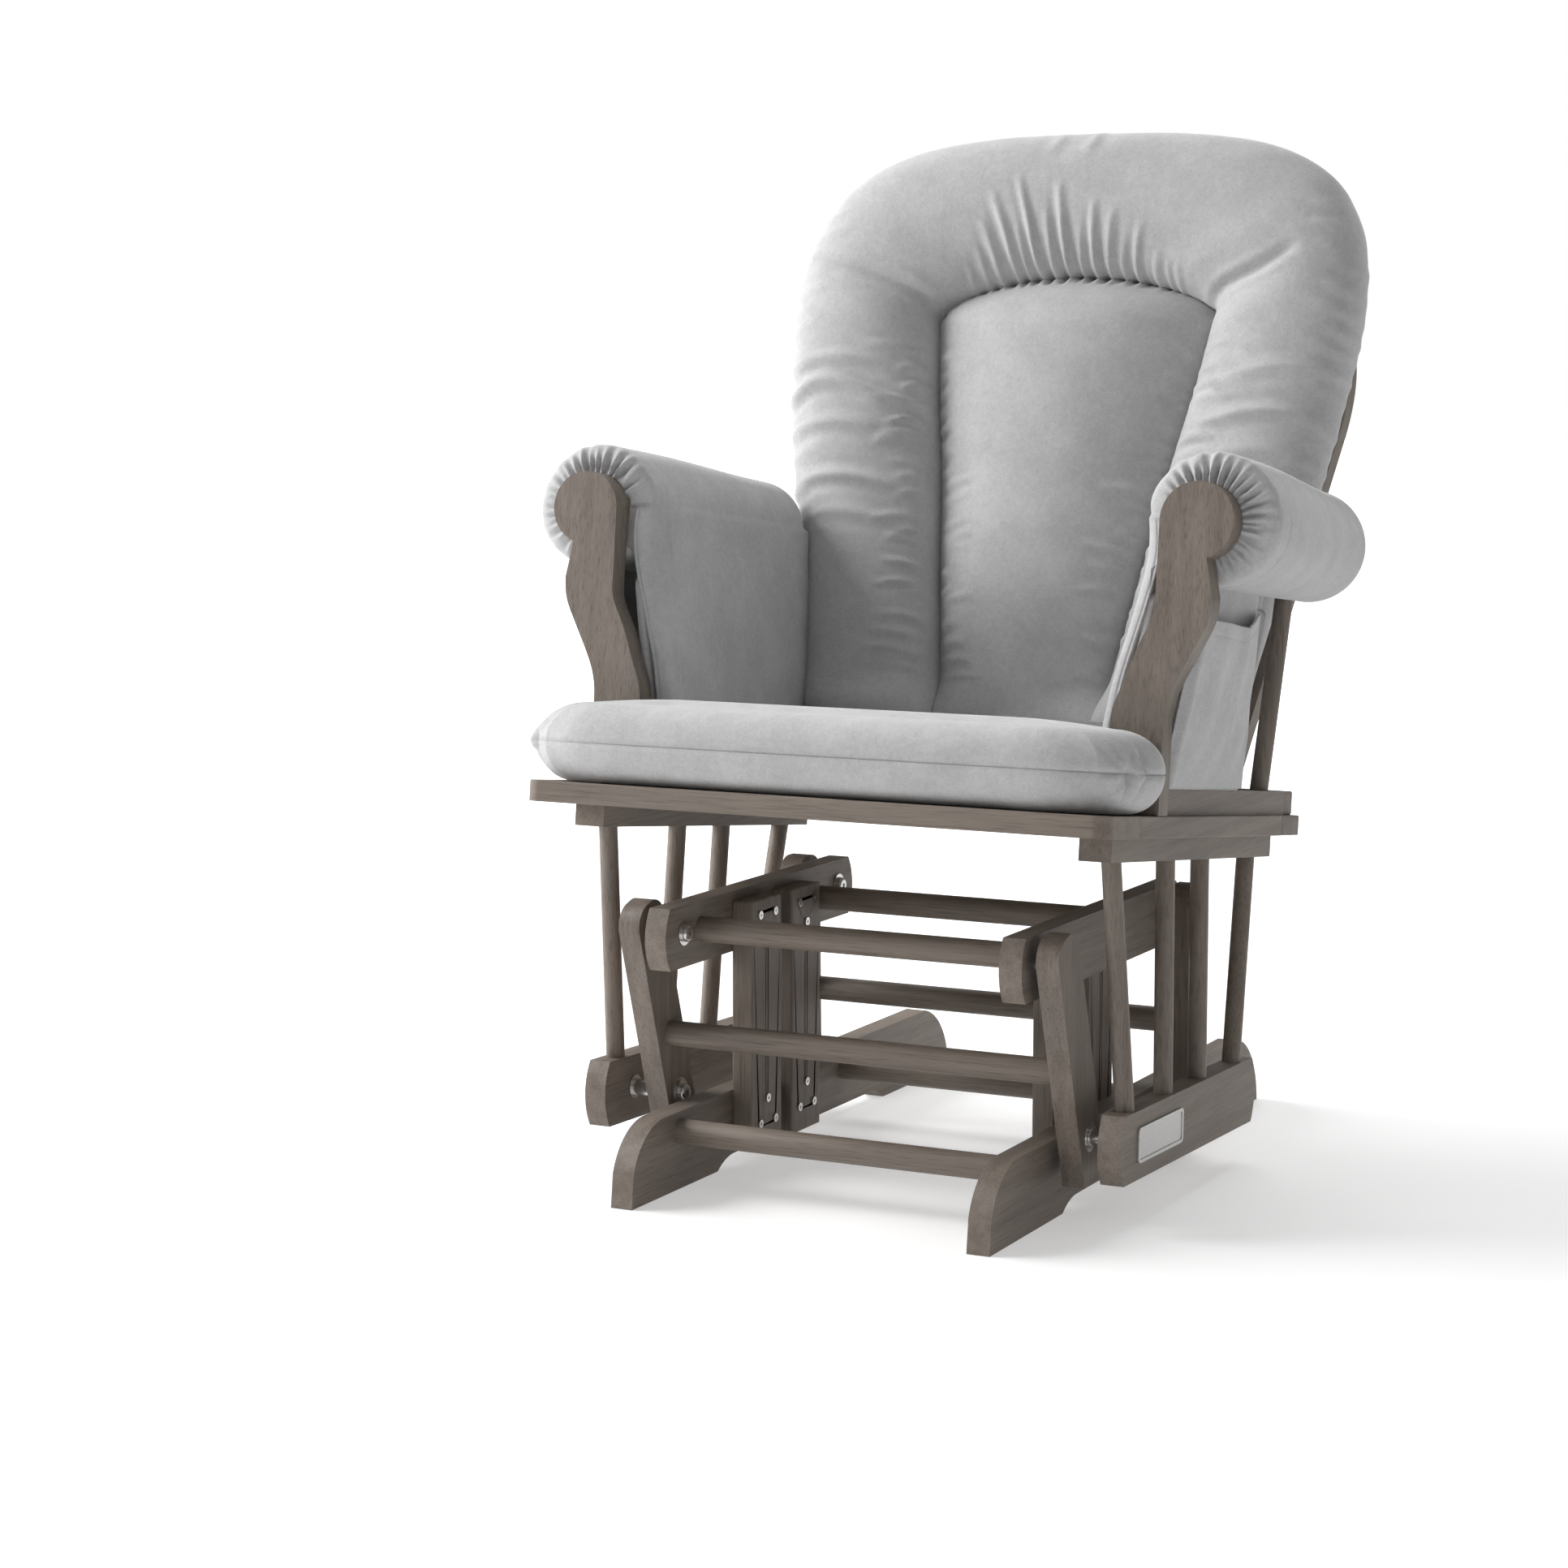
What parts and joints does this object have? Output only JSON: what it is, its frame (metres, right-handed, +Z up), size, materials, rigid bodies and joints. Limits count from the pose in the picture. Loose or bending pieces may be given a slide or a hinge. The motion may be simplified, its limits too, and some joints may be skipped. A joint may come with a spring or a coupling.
{
  "type": "glider nursery chair",
  "caption": "Cushioned glider armchair whose seat swings fore and aft on hanging wooden links over a fixed rail base.",
  "frame": {"origin": "on the floor, under the middle of the chair's footprint as seen from above", "axes": "+X to the sitter's left, which is the right-hand side seen from the front; +Y towards the back; +Z up; the sitter faces -Y"},
  "size_m": [0.68, 0.7003, 0.953],
  "materials": {
    "wood": "weathered grey-brown stain, satin, fine open grain",
    "fabric": "light grey brushed microfibre suede",
    "hardware": "bright nickel plate",
    "plate": "cast pewter look, blank, satin",
    "plywood": "unfinished plywood"
  },
  "bodies": {
    "base": {"foot_stretcher_front": "wood", "foot_stretcher_rear": "wood", "top_stretcher_front": "wood", "top_stretcher_rear": "wood", "post_screws": "hardware", "upper_pivot_bolts": "hardware", "upper_pivot_washers": "hardware", "upper_pivot_collars": "hardware", "foot_rail_left": "wood", "top_rail_left": "wood", "inner_posts_left": "wood", "foot_rail_right": "wood", "top_rail_right": "wood", "inner_posts_right": "wood"},
    "front_links": {"front_link_left": "wood", "front_link_right": "wood", "front_link_stretcher": "wood", "front_link_bearings": "hardware"},
    "rear_links": {"rear_link_left": "wood", "rear_link_right": "wood", "rear_link_stretcher": "wood", "rear_link_bearings": "hardware"},
    "seat": {"lower_pivot_bolts": "hardware", "lower_pivot_washers": "hardware", "lower_pivot_collars": "hardware", "deck_front_board": "wood", "deck_rear_board": "wood", "seat_support_panel": "plywood", "back_bottom_rail": "wood", "back_crest_rail": "wood", "back_slats": "wood", "seat_cushion": "fabric", "back_cushion": "fabric", "name_plate": "plate", "lower_rail_left": "wood", "support_block_left": "wood", "support_spindles_left": "wood", "deck_side_board_left": "wood", "arm_post_left": "wood", "arm_base_rail_left": "wood", "arm_top_rail_left": "wood", "arm_spindles_left": "wood", "arm_roll_pad_left": "fabric", "arm_inner_panel_left": "fabric", "arm_outer_panel_left": "fabric", "arm_pocket_left": "fabric", "back_stile_left": "wood", "lower_rail_right": "wood", "support_block_right": "wood", "support_spindles_right": "wood", "deck_side_board_right": "wood", "arm_post_right": "wood", "arm_base_rail_right": "wood", "arm_top_rail_right": "wood", "arm_spindles_right": "wood", "arm_roll_pad_right": "fabric", "arm_inner_panel_right": "fabric", "arm_outer_panel_right": "fabric", "arm_pocket_right": "fabric", "back_stile_right": "wood"}
  },
  "joints": [
    {"name": "front_link_swing", "type": "hinge", "parent": "base", "child": "front_links", "pos_m": [0, -0.2535, 0.232], "axis": [1, 0, 0], "range_deg": [-24, 8]},
    {"name": "seat_pivot", "type": "hinge", "parent": "front_links", "child": "seat", "pos_m": [0, -0.20333, 0.07481], "axis": [1, 0, 0], "range_deg": [-9.5, 28.5]},
    {"name": "rear_link_swing", "type": "hinge", "parent": "base", "child": "rear_links", "pos_m": [0, 0.0615, 0.232], "axis": [1, 0, 0], "range_deg": [-24, 8]}
  ],
  "couplings": [
    {"joint": "seat_pivot", "follows": "front_link_swing", "ratio": -1.17},
    {"joint": "rear_link_swing", "follows": "front_link_swing", "ratio": 0.995}
  ]
}
